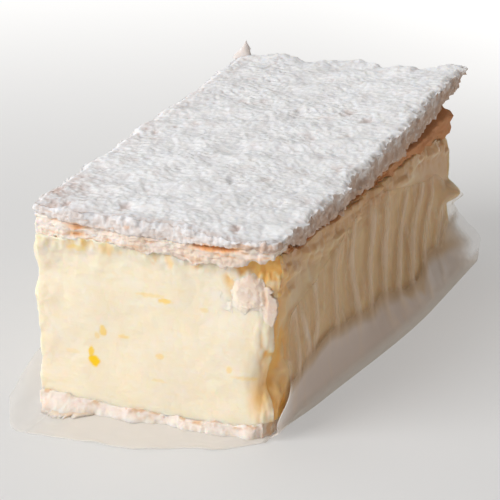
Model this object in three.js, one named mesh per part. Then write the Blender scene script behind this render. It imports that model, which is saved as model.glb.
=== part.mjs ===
// Vanilla slice: a block of set custard between two sheets of puff pastry, the upper one dusted
// with icing sugar, standing on a sheet of thin greaseproof paper that folds up its right side.
// Millimetres, +Z up. The origin is under the middle of the slice, on the surface that it stands on.
// The short cut face looks along -Y, the long side with the paper along +X.
import * as THREE from "three";

// Driving dimensions of the slice
const SLICE_WIDTH = 52;
const SLICE_LENGTH = 111;
const SLICE_HEIGHT = 44.4;
const FRONT = -SLICE_LENGTH / 2;
const BACK = SLICE_LENGTH / 2;
const LEFT = -SLICE_WIDTH / 2 + 0.2;
const RIGHT = SLICE_WIDTH / 2 + 0.2;
const TOUCH_GAP = 0.3;

// Driving dimensions of the layers
const PAPER_THICKNESS = 0.4;
const BASE_BOTTOM = PAPER_THICKNESS + TOUCH_GAP;
const CUSTARD_BOTTOM = 2;
const PASTRY_UNDERSIDE = 37.4;
const SHEET_OVERHANG = 1.1;

// Colours seen on the food in even light
const PAPER_COLOUR = 0xe6e2da;
const PASTRY_COLOUR = 0xdcc3a0;
const SUGAR_COLOUR = 0xe4e3e2;
const CUSTARD_COLOUR = 0xf2e3c0;

// Random waves: a sum of sines with seeded directions, about -1 to 1
function seededRandom(seed) {
  let state = seed;
  return () => {
    state = (Math.imul(state, 1664525) + 1013904223) >>> 0;
    return state / 4294967296;
  };
}

function makeWaves(seed, wavelength, count = 7) {
  const random = seededRandom(seed);
  const waves = [];
  for (let n = 0; n < count; n += 1) {
    const stretch = 0.75 + 0.5 * random();
    const direction = new THREE.Vector3(random() - 0.5, random() - 0.5, random() - 0.5).normalize();
    const pitch = (2 * Math.PI) / (wavelength * stretch);
    waves.push({ direction: direction.multiplyScalar(pitch), phase: 2 * Math.PI * random() });
  }
  return (x, y, z = 0) => {
    const place = new THREE.Vector3(x, y, z);
    const total = waves.reduce((sum, wave) => sum + Math.sin(wave.direction.dot(place) + wave.phase), 0);
    return total / Math.sqrt(count * 2);
  };
}

const { clamp, lerp, smoothstep } = THREE.MathUtils;

// A rounded hill of height 1 at the centre that ends at the reach
function hill(distance, reach) {
  const t = clamp(1 - Math.abs(distance) / reach, 0, 1);
  return t * t * (3 - 2 * t);
}

// A closed body on the outside of a lattice of cells, with each lattice point placed by a function
// of its three fractions from 0 to 1 (across, along and up). Opposite faces are split alike.
function latticeBody([across, along, up], place) {
  const positions = [];
  const triangles = [];
  const known = new Map();
  const corner = (i, j, k) => {
    const key = `${i},${j},${k}`;
    if (!known.has(key)) {
      known.set(key, positions.length / 3);
      positions.push(...place(i / across, j / along, k / up));
    }
    return known.get(key);
  };
  const quad = (a, b, c, d) => {
    triangles.push(corner(...a), corner(...b), corner(...c));
    triangles.push(corner(...a), corner(...c), corner(...d));
  };
  for (let i = 0; i < across; i += 1) {
    for (let j = 0; j < along; j += 1) {
      quad([i, j, 0], [i, j + 1, 0], [i + 1, j + 1, 0], [i + 1, j, 0]);
      quad([i, j, up], [i + 1, j, up], [i + 1, j + 1, up], [i, j + 1, up]);
    }
    for (let k = 0; k < up; k += 1) {
      quad([i, 0, k], [i + 1, 0, k], [i + 1, 0, k + 1], [i, 0, k + 1]);
      quad([i, along, k], [i, along, k + 1], [i + 1, along, k + 1], [i + 1, along, k]);
    }
  }
  for (let j = 0; j < along; j += 1) {
    for (let k = 0; k < up; k += 1) {
      quad([0, j, k], [0, j, k + 1], [0, j + 1, k + 1], [0, j + 1, k]);
      quad([across, j, k], [across, j + 1, k], [across, j + 1, k + 1], [across, j, k + 1]);
    }
  }
  const geometry = new THREE.BufferGeometry();
  geometry.setAttribute("position", new THREE.Float32BufferAttribute(positions, 3));
  geometry.setIndex(triangles);
  geometry.computeVertexNormals();
  return geometry;
}

// How uneven each surface is: the seed and the usual distance between its bumps
const slowWaves = makeWaves(11, 34);
const sideWaves = makeWaves(23, 17);
const crumbWaves = makeWaves(37, 9);
const edgeWaves = makeWaves(41, 12);
const paperWaves = makeWaves(53, 26);

// Where the custard meets the base pastry: lifted a little at the left and at the front right corner
const LEFT_LIFT = 0.9;
const CORNER_LIFT = 1.9;

function custardUnderside(x, y) {
  const leftLift = LEFT_LIFT * smoothstep(-x, 6, -LEFT);
  const nearFront = 1 - smoothstep(y, FRONT, FRONT + 14);
  return CUSTARD_BOTTOM + leftLift + CORNER_LIFT * smoothstep(x, 17, RIGHT) * nearFront;
}

// The underside of the upper pastry: it sinks towards the back right, where the lower leaf swells,
// rises at the front right corner and sags beside it
const UNDERSIDE = { slope: 3.3, backDrop: 4.6, cornerRise: 2.2, sag: 0.9, sagCentre: 9, uneven: 0.25 };

function pastryUnderside(x, y) {
  const toRight = smoothstep(x, -8, RIGHT);
  const slope = UNDERSIDE.slope * smoothstep(y, -46, 22) + UNDERSIDE.backDrop * smoothstep(y, 34, 60);
  const atCorner = smoothstep(x, 15, RIGHT + 1) * (1 - smoothstep(y, FRONT, FRONT + 12));
  const sag = UNDERSIDE.sag * hill(x - UNDERSIDE.sagCentre, 16) * hill(y - FRONT, 18);
  const uneven = UNDERSIDE.uneven * slowWaves(x, y);
  return PASTRY_UNDERSIDE - toRight * slope + UNDERSIDE.cornerRise * atCorner - sag + uneven;
}

// The right side of the custard: upright above, slumped outwards low down, most behind the middle
const SLUMP = { depth: 2.8, height: 22, lostAtBack: 0.65 };
const SIDE_UNEVEN = 0.3;

function custardRight(y, z) {
  const along = smoothstep(y, -44, 12) * (1 - SLUMP.lostAtBack * smoothstep(y, 28, BACK));
  const slump = SLUMP.depth * along * (1 - smoothstep(z, CUSTARD_BOTTOM, SLUMP.height));
  const nearFront = 1 - smoothstep(y, FRONT, FRONT + 8);
  const worn = 1.3 * (1 - smoothstep(z, 26, PASTRY_UNDERSIDE)) - 0.9;
  return RIGHT + slump - nearFront * worn + SIDE_UNEVEN * sideWaves(0, y, z);
}

// The cut front face: its right edge is worn back, and bitten low down
const BITE = { height: 11, reach: 8, depth: 2.6, width: 2.4 };
const EDGE_WEAR = 1.4;

function bitten(z) {
  return hill(z - BITE.height, BITE.reach);
}

function custardFront(x, z) {
  const worn = EDGE_WEAR * smoothstep(x, 22, 27) * (1 - smoothstep(z, 33, 38));
  const bite = BITE.depth * smoothstep(x, 19, RIGHT) * bitten(z);
  return FRONT + SIDE_UNEVEN * sideWaves(x, 0, z) + worn + bite;
}

// A lip of custard is squeezed out at the back right, just over the top edge of the paper
const LIP = { depth: 3.8, height: 22, fromBack: 1.5, along: 6, tall: 4.5 };

function lipDepth(along, level) {
  return LIP.depth * hill(along - BACK + LIP.fromBack, LIP.along) * hill(level - LIP.height, LIP.tall);
}

function custardPoint(u, v, w) {
  const level = lerp(CUSTARD_BOTTOM, PASTRY_UNDERSIDE, w);
  const along = lerp(FRONT, BACK, v);
  const left = LEFT + SIDE_UNEVEN * sideWaves(-40, along, level);
  const bite = BITE.width * bitten(level) * (1 - smoothstep(v, 0, 0.03));
  const x = lerp(left, custardRight(along, level) - bite + lipDepth(along, level), u);
  const back = BACK + SIDE_UNEVEN * sideWaves(x, 80, level);
  const y = lerp(custardFront(x, level), back, v);
  const z = lerp(custardUnderside(x, y) + TOUCH_GAP / 2, pastryUnderside(x, y) - TOUCH_GAP / 2, w);
  return [x, y, z];
}

// The base pastry: a thin pressed sheet with a ragged rim that shows in front
const BASE = { proud: 0.8, inset: 1.9, ragged: 0.5, curl: 0.5 };

function basePoint(u, v, w) {
  const rim = BASE.ragged * edgeWaves(u * SLICE_WIDTH, v * SLICE_LENGTH);
  const y = lerp(FRONT - BASE.proud - rim, BACK + BASE.proud / 2 + rim, v);
  const rightEdge = RIGHT - BASE.inset + 1.3 * smoothstep(y, FRONT, FRONT + 20);
  const x = lerp(LEFT - rim, rightEdge + 0.4 * rim, u);
  const curl = BASE.curl * smoothstep(-x, 18, -LEFT) * (1 - smoothstep(y, FRONT, FRONT + 8));
  const z = lerp(BASE_BOTTOM + curl, custardUnderside(x, y) - TOUCH_GAP / 2, w);
  return [x, y, z];
}

// The outline of the upper pastry sheet, which stands past the custard all round
const SHEET = { frontSkew: 3.2, backProud: 1.5, backStep: 5.5, backWave: 1.6, ragged: 0.5 };

function sheetFront(u) {
  return FRONT - SHEET.frontSkew * u + SHEET.ragged * edgeWaves(u * SLICE_WIDTH, 200);
}

function sheetBack(u) {
  const step = SHEET.backStep * smoothstep(u, 0, 0.25);
  return BACK + SHEET.backProud + step + SHEET.backWave * Math.sin(14 * u + 0.5);
}

function sheetSide(v) {
  return SHEET_OVERHANG + SHEET.ragged * edgeWaves(300, v * SLICE_LENGTH);
}

// The sugared top: low at the front right, lifted at the back right, with one flake standing up
const TOP = { droop: 1.2, lift: 1.6, crumb: 0.4, dimple: 0.7, flake: 4.2 };
const UPRIGHT_FLAKE = { x: -23.4, y: 55.8, reach: 4 };
const DIMPLE = { x: -2, y: -8, reach: 6 };

function sugarTop(x, y) {
  const toRight = smoothstep(x, 0, RIGHT + 1);
  const droop = TOP.droop * toRight * (1 - smoothstep(y, -20, 20));
  const lift = TOP.lift * toRight * smoothstep(y, 15, 50);
  const flake = TOP.flake * hill(Math.hypot(x - UPRIGHT_FLAKE.x, y - UPRIGHT_FLAKE.y), UPRIGHT_FLAKE.reach);
  const dimple = TOP.dimple * hill(Math.hypot(x - DIMPLE.x, y - DIMPLE.y), DIMPLE.reach);
  return SLICE_HEIGHT - droop + lift + flake - dimple + TOP.crumb * crumbWaves(x, y);
}

// Height of the crack between the lower leaf and the sugared leaf, at the ends and on the right side
const CRACK = { middle: 41.4, cornerRise: 1.6, back: 41, side: 37.6, sideRise: 0.9, sideBackRise: 3.2 };
const LEAST_LEAF = 0.8;

function crackHeight(x, y) {
  const front = CRACK.middle + CRACK.cornerRise * smoothstep(Math.abs(x), 12, RIGHT + 1);
  const ends = lerp(front, CRACK.back, smoothstep(y, FRONT, BACK));
  const sideRise = CRACK.sideRise * smoothstep(y, 0, 30) + CRACK.sideBackRise * smoothstep(y, 30, 64);
  const toSide = smoothstep(x, 14, RIGHT) * smoothstep(y, FRONT, FRONT + 16);
  return lerp(ends, CRACK.side + sideRise, toSide);
}

// The upper pastry has two leaves with a crack between them, cut as relief round its sides.
// Each level of its lattice is drawn in or out, from the underside to the sugared top. Towards the
// back right corner the lower leaf ends with the custard, and the sugared leaf stands out past it.
const LEVEL_RELIEF = [-0.9, -0.2, -1.5, 0.3, 0];
const LEVEL_BACK_INSET = [5.6, 5.2, 6, 2.2, 0.8];
const SIDE_INSET = 0.2;
const TOP_LEVEL = LEVEL_RELIEF.length - 1;

function sheetPoint(u, v, w) {
  const level = Math.round(w * TOP_LEVEL);
  const relief = LEVEL_RELIEF[level];
  const backInset = LEVEL_BACK_INSET[level] * smoothstep(u, 0.3, 0.95);
  const sideInset = SIDE_INSET * LEVEL_BACK_INSET[level] * smoothstep(v, 0.7, 1);
  const x = lerp(LEFT - sheetSide(v) - relief, RIGHT + sheetSide(v + 2) + relief - sideInset, u);
  const y = lerp(sheetFront(u) - relief, sheetBack(u) + relief - backInset, v);
  const underside = pastryUnderside(x, y) + TOUCH_GAP / 2;
  const crack = Math.max(crackHeight(x, y), underside + LEAST_LEAF);
  const top = sugarTop(x, y);
  const heights = [underside, lerp(underside, crack, 0.75), crack, lerp(crack, top, 0.3), top];
  return [x, y, heights[level]];
}

// A flake of pastry pressed on the front of the custard, bent a little round its right edge
const FLAKE = { x: 19.6, z: 30.6, halfWidth: 6.4, halfHeight: 5.6, lean: 0.2 };
const FLAKE_THICKNESS = { rim: 0.5, middle: 1.6 };

function flakePoint(u, v, w) {
  const side = 2 * u - 1;
  const height = 2 * w - 1;
  const round = 1 / Math.max(1, Math.hypot(side, height) ** 0.8);
  const uneven = 1 + 0.16 * crumbWaves(9 * side, 40, 9 * height);
  const x = FLAKE.x + FLAKE.halfWidth * side * round * uneven;
  const z = FLAKE.z + FLAKE.halfHeight * (height * round * uneven + FLAKE.lean * side);
  const fromRim = 1 - Math.max(Math.abs(side), Math.abs(height));
  const thickness = lerp(FLAKE_THICKNESS.rim, FLAKE_THICKNESS.middle, smoothstep(fromRim, 0, 0.6));
  const back = custardFront(x, z) - 2 * TOUCH_GAP;
  return [x, back - (1 - v) * thickness, z];
}

// The paper: flat under the slice, proud of it in front, and folded up the right side
const PAPER_LEFT = LEFT - 6.6;
const PAPER_FRONT = FRONT - 15;
const PAPER_BACK = BACK + 10;
const FOLD_FRACTION = 0.6;
const FLAP = { start: 1, height: 24.5, crest: 8, crestCentre: -2, crestReach: 46 };
const FOLD = { spread: 6.8, frontInset: 1.4, cornerInset: 2.4 };
const CURL = { height: 6.4, y: -38, reach: 24 };

function paperFoldLine(y) {
  const beside = RIGHT - FOLD.frontInset * (1 - smoothstep(y, FRONT, FRONT + 22));
  const spread = FOLD.spread * smoothstep(y, FRONT - 4, 26);
  return lerp(RIGHT - FOLD.cornerInset, beside + spread, smoothstep(y, FRONT - 11, FRONT + 1));
}

function paperFlapHeight(y) {
  const rise = smoothstep(y, FRONT - 2, FRONT + 9.5);
  const fall = smoothstep(y, BACK - 13.5, BACK + 18);
  const crest = FLAP.crest * hill(y - FLAP.crestCentre, FLAP.crestReach);
  return FLAP.start + FLAP.height * rise * (1 - fall) + crest;
}

function paperFront(u) {
  const leftCorner = 17 * (1 - smoothstep(u, -0.04, 0.09));
  const rightCorner = 6 * smoothstep(u, 0.34, 0.5) + 9 * smoothstep(u, 0.5, 0.63);
  return PAPER_FRONT + leftCorner + rightCorner + 0.5 * paperWaves(60 * u, 0);
}

function paperEnd(u) {
  return PAPER_BACK + 0.9 * paperWaves(70 * u, 90) - 7 * smoothstep(u, 0.4, FOLD_FRACTION);
}

// The level in the block of custard, between its underside and its top, of a height beside it
function custardLevel(x, y, z) {
  const underside = custardUnderside(x, y);
  return lerp(CUSTARD_BOTTOM, PASTRY_UNDERSIDE, (z - underside) / (pastryUnderside(x, y) - underside));
}

// How far the crumpled end of the paper stands away from the custard at the back right
const CRUMPLE_DEPTH = 5.6;

// The middle of the paper's thickness in one upright cut across it, from the left edge (u = 0)
// along the floor to the fold (u = FOLD_FRACTION) and up the side of the slice (u = 1)
function paperCut(u, y) {
  const half = PAPER_THICKNESS / 2;
  if (u <= FOLD_FRACTION) {
    const t = u / FOLD_FRACTION;
    const nearCurl = 1 - smoothstep(Math.abs(y - CURL.y), 4, CURL.reach);
    const curl = CURL.height * (1 - smoothstep(t, 0, 0.08)) * nearCurl;
    return new THREE.Vector2(lerp(PAPER_LEFT, paperFoldLine(y), t), half + curl);
  }
  const t = (u - FOLD_FRACTION) / (1 - FOLD_FRACTION);
  const z = half + t ** 1.3 * paperFlapHeight(y);
  const beside = clamp(y, FRONT + 8, BACK);
  const lip = lipDepth(beside, custardLevel(RIGHT, beside, z));
  const clear = custardRight(beside, z) + lip + TOUCH_GAP + PAPER_THICKNESS;
  const crumple = CRUMPLE_DEPTH * smoothstep(y, BACK - 12, BACK + 2) * (1 - smoothstep(z, 5, 14));
  const fold = paperFoldLine(y);
  const x = lerp(fold, clear + crumple, smoothstep(z, 0, 9));
  return new THREE.Vector2(Math.max(x, lerp(fold, clear, smoothstep(z, 0.3, 1.8))), z);
}

function paperPoint(u, v, w) {
  const y = lerp(paperFront(u), paperEnd(u), v);
  const step = 0.01;
  const here = paperCut(u, y);
  const ahead = paperCut(Math.min(u + step, 1), y);
  const behind = paperCut(Math.max(u - step, 0), y);
  const run = ahead.sub(behind).normalize();
  const offset = (w - 0.5) * PAPER_THICKNESS;
  return [here.x - run.y * offset, y, here.y + run.x * offset];
}

function food(name, geometry, color, roughness) {
  const material = new THREE.MeshStandardMaterial({ color, roughness, metalness: 0 });
  const mesh = new THREE.Mesh(geometry, material);
  mesh.name = name;
  return mesh;
}

const slice = new THREE.Group();
slice.add(food("paper", latticeBody([20, 34, 1], paperPoint), PAPER_COLOUR, 0.7));
slice.add(food("base_pastry", latticeBody([14, 28, 2], basePoint), PASTRY_COLOUR, 0.85));
slice.add(food("custard", latticeBody([14, 28, 9], custardPoint), CUSTARD_COLOUR, 0.4));
slice.add(food("top_pastry", latticeBody([15, 30, TOP_LEVEL], sheetPoint), SUGAR_COLOUR, 0.95));
slice.add(food("corner_flake", latticeBody([8, 1, 7], flakePoint), PASTRY_COLOUR, 0.85));

export default slice;
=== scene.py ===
"""A vanilla slice on greaseproof paper: set custard between two sheets of puff pastry, the upper
one crusted with icing sugar. Shapes are worked out in millimetres and written out in metres."""

import math

import bpy
import numpy as np
from mathutils import Matrix, Vector


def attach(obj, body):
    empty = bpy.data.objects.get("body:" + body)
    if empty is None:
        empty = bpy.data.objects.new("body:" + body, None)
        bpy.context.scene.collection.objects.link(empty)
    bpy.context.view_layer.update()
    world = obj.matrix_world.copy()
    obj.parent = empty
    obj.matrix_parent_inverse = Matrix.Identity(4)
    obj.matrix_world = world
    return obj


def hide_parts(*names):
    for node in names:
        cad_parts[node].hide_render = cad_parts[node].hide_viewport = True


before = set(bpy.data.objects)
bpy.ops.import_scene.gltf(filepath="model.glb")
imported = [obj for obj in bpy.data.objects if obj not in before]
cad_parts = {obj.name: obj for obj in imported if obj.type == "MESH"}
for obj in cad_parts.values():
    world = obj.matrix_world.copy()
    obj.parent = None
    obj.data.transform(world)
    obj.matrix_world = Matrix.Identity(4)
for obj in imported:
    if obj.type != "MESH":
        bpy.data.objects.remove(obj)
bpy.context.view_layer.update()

MM = 0.001

# Driving dimensions, the same as the solids'
SLICE_WIDTH = 52.0
SLICE_LENGTH = 111.0
SLICE_HEIGHT = 44.4
FRONT = -SLICE_LENGTH / 2
BACK = SLICE_LENGTH / 2
LEFT = -SLICE_WIDTH / 2 + 0.2
RIGHT = SLICE_WIDTH / 2 + 0.2
TOUCH_GAP = 0.3
PAPER_THICKNESS = 0.4
BASE_BOTTOM = PAPER_THICKNESS + TOUCH_GAP
CUSTARD_BOTTOM = 2.0
PASTRY_UNDERSIDE = 37.4
SHEET_OVERHANG = 1.1


# Small mathematics

def lerp(a, b, t):
    return a + (b - a) * t


def rise(x, low, high):
    """Smoothly from 0 at low to 1 at high."""
    t = np.clip((x - low) / (high - low), 0, 1)
    return t * t * (3 - 2 * t)


def hill(distance, reach):
    """Smoothly from 1 where the distance is 0 to 0 where it is the reach."""
    return rise(1 - np.abs(distance) / reach, 0, 1)


def fall(x, low, high):
    return 1 - rise(x, low, high)


def at_front(y, full, none):
    """1 up to one distance behind the slice's front, and 0 from a farther one."""
    return fall(y, FRONT + full, FRONT + none)


def stack(x, y, z):
    return np.stack(np.broadcast_arrays(x, y, z), axis=-1).astype(float)


# The solids' own random numbers
DRAW_FACTOR = 1664525
DRAW_STEP = 1013904223
DRAW_LIMIT = 4294967296


def make_waves(seed, wavelength, count=7):
    """The solids' own unevenness: a sum of sines with seeded directions."""
    state = seed
    draws = []
    for _ in range(5 * count):
        state = (state * DRAW_FACTOR + DRAW_STEP) % DRAW_LIMIT
        draws.append(state / DRAW_LIMIT)
    waves = []
    for stretch, a, b, c, phase in np.array(draws).reshape(count, 5):
        direction = np.array([a, b, c]) - 0.5
        direction *= 2 * math.pi / (wavelength * (0.75 + 0.5 * stretch)) / np.linalg.norm(direction)
        waves.append((direction, 2 * math.pi * phase))

    def wave(x, y, z=0):
        place = stack(x, y, z)
        return sum(np.sin(place @ d + p) for d, p in waves) / math.sqrt(count * 2)

    return wave


slow_waves = make_waves(11, 34)
side_waves = make_waves(23, 17)
crumb_waves = make_waves(37, 9)
edge_waves = make_waves(41, 12)
paper_waves = make_waves(53, 26)


class Noise:
    """Seeded noise, about -1 to 1. A number added to the place gives another pattern."""

    LAYER_SHIFT = 17.3
    LAYER_RATIO = 2.03
    STRENGTH = 1.6

    def __init__(self, seed):
        rng = np.random.default_rng(seed)
        self.order = rng.permutation(256)
        steps = rng.normal(size=(256, 3))
        self.steps = steps / np.linalg.norm(steps, axis=1, keepdims=True)

    def smooth(self, place, size):
        """One layer, with bumps of a size in millimetres."""
        q = np.asarray(place) / size
        cell = np.floor(q).astype(int)
        inside = q - cell
        fade = inside ** 3 * (inside * (inside * 6 - 15) + 10)
        total = np.zeros(q.shape[:-1])
        for corner in np.ndindex(2, 2, 2):
            corner = np.array(corner)
            key = cell + corner
            pick = 0
            for axis in range(3):
                pick = self.order[(pick + key[..., axis]) % 256]
            weight = np.where(corner, fade, 1 - fade).prod(axis=-1)
            total += weight * (self.steps[pick] * (inside - corner)).sum(axis=-1)
        return self.STRENGTH * total

    def __call__(self, place, size, count=3, gain=0.5):
        """Layers of smooth noise, each about half the size of the one before."""
        total, height = 0, 1
        for n in range(count):
            total += height * self.smooth(place + self.LAYER_SHIFT * n, size)
            size, height = np.asarray(size) / self.LAYER_RATIO, height * gain
        return total


# The solids' own surfaces

def custard_underside(x, y):
    to_right = 1.9 * rise(x, 17, RIGHT) * at_front(y, 0, 14)
    return CUSTARD_BOTTOM + 0.9 * rise(-x, 6, -LEFT) + to_right


def pastry_underside(x, y):
    to_right = rise(x, -8, RIGHT)
    slope = 3.3 * rise(y, -46, 22) + 4.6 * rise(y, 34, 60)
    at_corner = rise(x, 15, RIGHT + 1) * at_front(y, 0, 12)
    sag = 0.9 * hill(x - 9, 16) * hill(y - FRONT, 18)
    return PASTRY_UNDERSIDE - to_right * slope + 2.2 * at_corner - sag + 0.25 * slow_waves(x, y)


def custard_right(y, z):
    along = rise(y, -44, 12) * (1 - 0.65 * rise(y, 28, BACK))
    slump = 2.8 * along * fall(z, CUSTARD_BOTTOM, 22)
    worn = 1.3 * fall(z, 26, PASTRY_UNDERSIDE) - 0.9
    return RIGHT + slump - at_front(y, 0, 8) * worn + 0.3 * side_waves(0, y, z)


def bitten(z):
    return hill(z - 11, 8)


def custard_front(x, z):
    worn = 1.4 * rise(x, 22, 27) * fall(z, 33, 38)
    return FRONT + 0.3 * side_waves(x, 0, z) + worn + 2.6 * rise(x, 19, RIGHT) * bitten(z)


def lip_depth(along, level):
    return 3.8 * hill(along - BACK + 1.5, 6) * hill(level - 22, 4.5)


def custard_point(u, v, w):
    level = lerp(CUSTARD_BOTTOM, PASTRY_UNDERSIDE, w)
    along = lerp(FRONT, BACK, v)
    left = LEFT + 0.3 * side_waves(-40, along, level)
    bite = 2.4 * bitten(level) * fall(v, 0, 0.03)
    x = lerp(left, custard_right(along, level) - bite + lip_depth(along, level), u)
    y = lerp(custard_front(x, level), BACK + 0.3 * side_waves(x, 80, level), v)
    z = lerp(custard_underside(x, y) + TOUCH_GAP / 2, pastry_underside(x, y) - TOUCH_GAP / 2, w)
    return stack(x, y, z)


def base_top(x, y):
    return custard_underside(x, y) - TOUCH_GAP / 2


def base_point(u, v, w):
    rim = 0.5 * edge_waves(u * SLICE_WIDTH, v * SLICE_LENGTH)
    y = lerp(FRONT - 0.8 - rim, BACK + 0.4 + rim, v)
    right_edge = RIGHT - 1.9 + 1.3 * rise(y, FRONT, FRONT + 20)
    x = lerp(LEFT - rim, right_edge + 0.4 * rim, u)
    curl = 0.5 * rise(-x, 18, -LEFT) * at_front(y, 0, 8)
    return stack(x, y, lerp(BASE_BOTTOM + curl, base_top(x, y), w))


def sheet_front(u):
    return FRONT - 3.2 * u + 0.5 * edge_waves(u * SLICE_WIDTH, 200)


def sheet_back(u):
    return BACK + 1.5 + 5.5 * rise(u, 0, 0.25) + 1.6 * np.sin(14 * u + 0.5)


def sheet_side(v):
    return SHEET_OVERHANG + 0.5 * edge_waves(300, v * SLICE_LENGTH)


def sugar_top(x, y):
    to_right = rise(x, 0, RIGHT + 1)
    droop = 1.2 * to_right * fall(y, -20, 20)
    lift = 1.6 * to_right * rise(y, 15, 50)
    dimple = 0.7 * hill(np.hypot(x + 2, y + 8), 6)
    return SLICE_HEIGHT - droop + lift - dimple + 0.4 * crumb_waves(x, y)


def crack_height(x, y):
    front = 41.4 + 1.6 * rise(np.abs(x), 12, RIGHT + 1)
    ends = lerp(front, 41, rise(y, FRONT, BACK))
    side = 37.6 + 0.9 * rise(y, 0, 30) + 3.2 * rise(y, 30, 64)
    return lerp(ends, side, rise(x, 14, RIGHT) * rise(y, FRONT, FRONT + 16))


def sheet_outline(u, v, relief, back_inset):
    """Where the rim of the upper pastry is, drawn out by the relief and in at the back right."""
    to_side = 0.2 * back_inset * rise(v, 0.7, 1)
    x = lerp(LEFT - sheet_side(v) - relief, RIGHT + sheet_side(v + 2) + relief - to_side, u)
    y = lerp(sheet_front(u) - relief, sheet_back(u) + relief - back_inset * rise(u, 0.3, 0.95), v)
    return x, y


def sheet_underside(x, y):
    return pastry_underside(x, y) + TOUCH_GAP / 2


PAPER_LEFT = LEFT - 6.6
PAPER_FRONT = FRONT - 15
PAPER_BACK = BACK + 10
FOLD_FRACTION = 0.6


def paper_fold_line(y):
    beside = RIGHT - 1.4 * at_front(y, 0, 22) + 6.8 * rise(y, FRONT - 4, 26)
    return lerp(RIGHT - 2.4, beside, rise(y, FRONT - 11, FRONT + 1))


def paper_flap_height(y):
    middle = rise(y, FRONT - 2, FRONT + 9.5) * fall(y, BACK - 13.5, BACK + 18)
    return 1 + 24.5 * middle + 8 * hill(y + 2, 46)


def paper_front(u):
    left_corner = 17 * fall(u, -0.04, 0.09)
    right_corner = 6 * rise(u, 0.34, 0.5) + 9 * rise(u, 0.5, 0.63)
    return PAPER_FRONT + left_corner + right_corner + 0.5 * paper_waves(60 * u, 0)


def paper_end(u):
    return PAPER_BACK + 0.9 * paper_waves(70 * u, 90) - 7 * rise(u, 0.4, FOLD_FRACTION)


def custard_level(x, y, z):
    """The level in the block of custard of a height beside it."""
    underside = custard_underside(x, y)
    share = (z - underside) / (pastry_underside(x, y) - underside)
    return lerp(CUSTARD_BOTTOM, PASTRY_UNDERSIDE, share)


def custard_side(y, z):
    """The custard's right side with the lip that is squeezed out near its back."""
    return custard_right(y, z) + lip_depth(y, custard_level(RIGHT, y, z))


def paper_cut(u, y):
    """The middle of the paper in one upright cut: left edge, floor, fold, and up the right side."""
    half = PAPER_THICKNESS / 2
    t = u / FOLD_FRACTION
    near_curl = fall(np.abs(y + 38), 4, 24)
    fold = paper_fold_line(y)
    floor_x = lerp(PAPER_LEFT, fold, t)
    floor_z = half + 6.4 * fall(t, 0, 0.08) * near_curl
    t = np.clip((u - FOLD_FRACTION) / (1 - FOLD_FRACTION), 0, 1)
    flap_z = half + t ** 1.3 * paper_flap_height(y)
    beside = np.clip(y, FRONT + 8, BACK)
    clear = custard_side(beside, flap_z) + TOUCH_GAP + PAPER_THICKNESS
    crumple = 5.6 * rise(y, BACK - 12, BACK + 2) * fall(flap_z, 5, 14)
    flap_x = lerp(fold, clear + crumple, rise(flap_z, 0, 9))
    flap_x = np.maximum(flap_x, lerp(fold, clear, rise(flap_z, 0.3, 1.8)))
    on_floor = u <= FOLD_FRACTION
    return np.where(on_floor, floor_x, flap_x), np.where(on_floor, floor_z, flap_z)


# Mesh building

def add_object(name, data):
    thing = bpy.data.objects.new(name, data)
    bpy.context.scene.collection.objects.link(thing)
    return thing


def grid_normals(points, closed):
    """Normals of a grid of points, whose first direction may run round a loop."""
    if closed:
        across = np.roll(points, -1, axis=0) - np.roll(points, 1, axis=0)
    else:
        across = np.gradient(points, axis=0)
    normal = np.cross(across, np.gradient(points, axis=1))
    return normal / np.maximum(np.linalg.norm(normal, axis=-1, keepdims=True), 1e-9)


def around(grid):
    """The points round the rim of a grid, anticlockwise from its first corner."""
    return np.concatenate([grid[:-1, 0], grid[-1, :-1], grid[:0:-1, -1], grid[0, :0:-1]])


# How large the rings that close an end are, next to its rim
CAP_SHARES = (0.97, 0.8, 0.45)


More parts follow.
